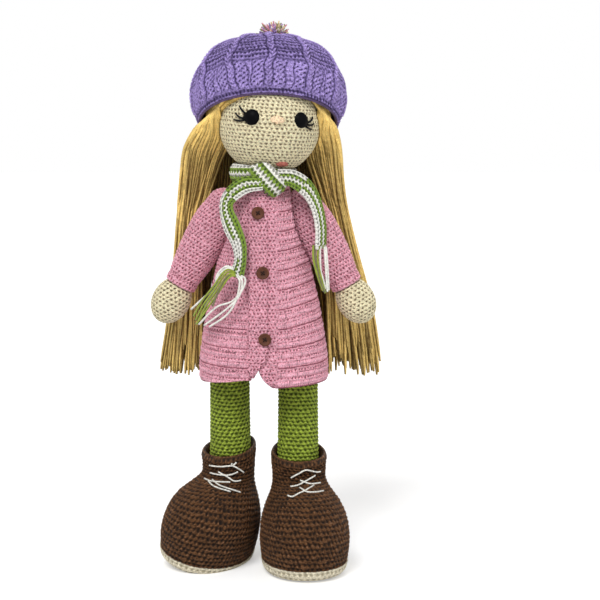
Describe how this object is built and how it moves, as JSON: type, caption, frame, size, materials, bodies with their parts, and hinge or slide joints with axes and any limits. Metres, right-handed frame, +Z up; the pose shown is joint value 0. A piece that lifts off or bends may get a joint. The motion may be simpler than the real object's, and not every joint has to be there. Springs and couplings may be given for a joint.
{
  "type": "crocheted doll",
  "caption": "Soft crocheted standing doll with movable head, arms and legs, dressed in a buttoned coat, scarf, lift-off beret and laced boots.",
  "frame": {"origin": "on the floor, at the middle of the doll's footprint", "axes": "+Z up along the standing doll, the doll faces -Y, +X towards its own left arm"},
  "size_m": [0.1726, 0.1336, 0.4176],
  "materials": {
    "skin_yarn": "matte",
    "coat_yarn": "matte",
    "scarf_yarn": "matte",
    "fringe_yarn": "matte",
    "black_thread": "matte",
    "mouth_yarn": "matte",
    "hair_yarn": "satin",
    "beret_yarn": "matte",
    "edging_yarn": "matte",
    "pompom_yarn": "matte",
    "leg_yarn": "matte",
    "boot_yarn": "matte",
    "sole_yarn": "matte",
    "lace_yarn": "matte",
    "eye_plastic": "gloss",
    "washer_plastic": "matte",
    "button_wood": "satin",
    "dowel_wood": "matte",
    "insole_board": "matte"
  },
  "bodies": {
    "torso": {"torso": "skin_yarn", "neck_dowel": "dowel_wood", "coat_bodice": "coat_yarn", "coat_skirt_left": "coat_yarn", "coat_skirt_right": "coat_yarn", "front_band_left": "coat_yarn", "front_band_right": "coat_yarn", "button_top": "button_wood", "button_middle": "button_wood", "button_bottom": "button_wood", "scarf_wrap": "scarf_yarn", "scarf_knot": "scarf_yarn", "scarf_tail_left": "scarf_yarn", "scarf_tail_right": "scarf_yarn", "scarf_fringe_left": "fringe_yarn", "scarf_fringe_right": "fringe_yarn"},
    "head": {"head": "skin_yarn", "eye_left": "eye_plastic", "eye_right": "eye_plastic", "eye_washer_left": "washer_plastic", "eye_washer_right": "washer_plastic", "lashes_left": "black_thread", "lashes_right": "black_thread", "nose": "skin_yarn", "mouth": "mouth_yarn", "hair_cap": "hair_yarn", "hair_left": "hair_yarn", "hair_back": "hair_yarn", "hair_right": "hair_yarn"},
    "hat": {"beret": "beret_yarn", "beret_edging": "edging_yarn", "pompom": "pompom_yarn"},
    "left_arm": {"arm_left": "skin_yarn", "sleeve_left": "coat_yarn", "cuff_left": "coat_yarn"},
    "right_arm": {"arm_right": "skin_yarn", "sleeve_right": "coat_yarn", "cuff_right": "coat_yarn"},
    "left_leg": {"leg_left": "leg_yarn", "boot_upper_left": "boot_yarn", "boot_sole_left": "sole_yarn", "insole_left": "insole_board", "laces_left": "lace_yarn"},
    "right_leg": {"leg_right": "leg_yarn", "boot_upper_right": "boot_yarn", "boot_sole_right": "sole_yarn", "insole_right": "insole_board", "laces_right": "lace_yarn"}
  },
  "joints": [
    {"name": "head_turn", "type": "hinge", "parent": "torso", "child": "head", "pos_m": [0.005, 0.00436, 0.3038], "axis": [0, 0, 1], "range_deg": [-35, 35], "deforming": ["hair_left", "hair_back", "hair_right"]},
    {"name": "hat_lift", "type": "slide", "parent": "head", "child": "hat", "axis": [0, 0, 1], "range_m": [0, 0.07]},
    {"name": "shoulder_left", "type": "hinge", "parent": "torso", "child": "left_arm", "pos_m": [0.03, 0.00536, 0.27697], "axis": [-1, 0, 0], "range_deg": [0, 110], "deforming": ["scarf_tail_left", "scarf_fringe_left"]},
    {"name": "shoulder_right", "type": "hinge", "parent": "torso", "child": "right_arm", "pos_m": [-0.03, 0.00536, 0.27697], "axis": [-1, 0, 0], "range_deg": [0, 110], "deforming": ["scarf_tail_right", "scarf_fringe_right"]},
    {"name": "hip_left", "type": "hinge", "parent": "torso", "child": "left_leg", "pos_m": [0.0265, 0.00536, 0.165], "axis": [-1, 0, 0], "range_deg": [0, 90], "deforming": ["coat_skirt_left", "front_band_left"]},
    {"name": "hip_right", "type": "hinge", "parent": "torso", "child": "right_leg", "pos_m": [-0.0265, 0.00536, 0.165], "axis": [-1, 0, 0], "range_deg": [0, 90], "deforming": ["coat_skirt_right", "front_band_right"]}
  ]
}
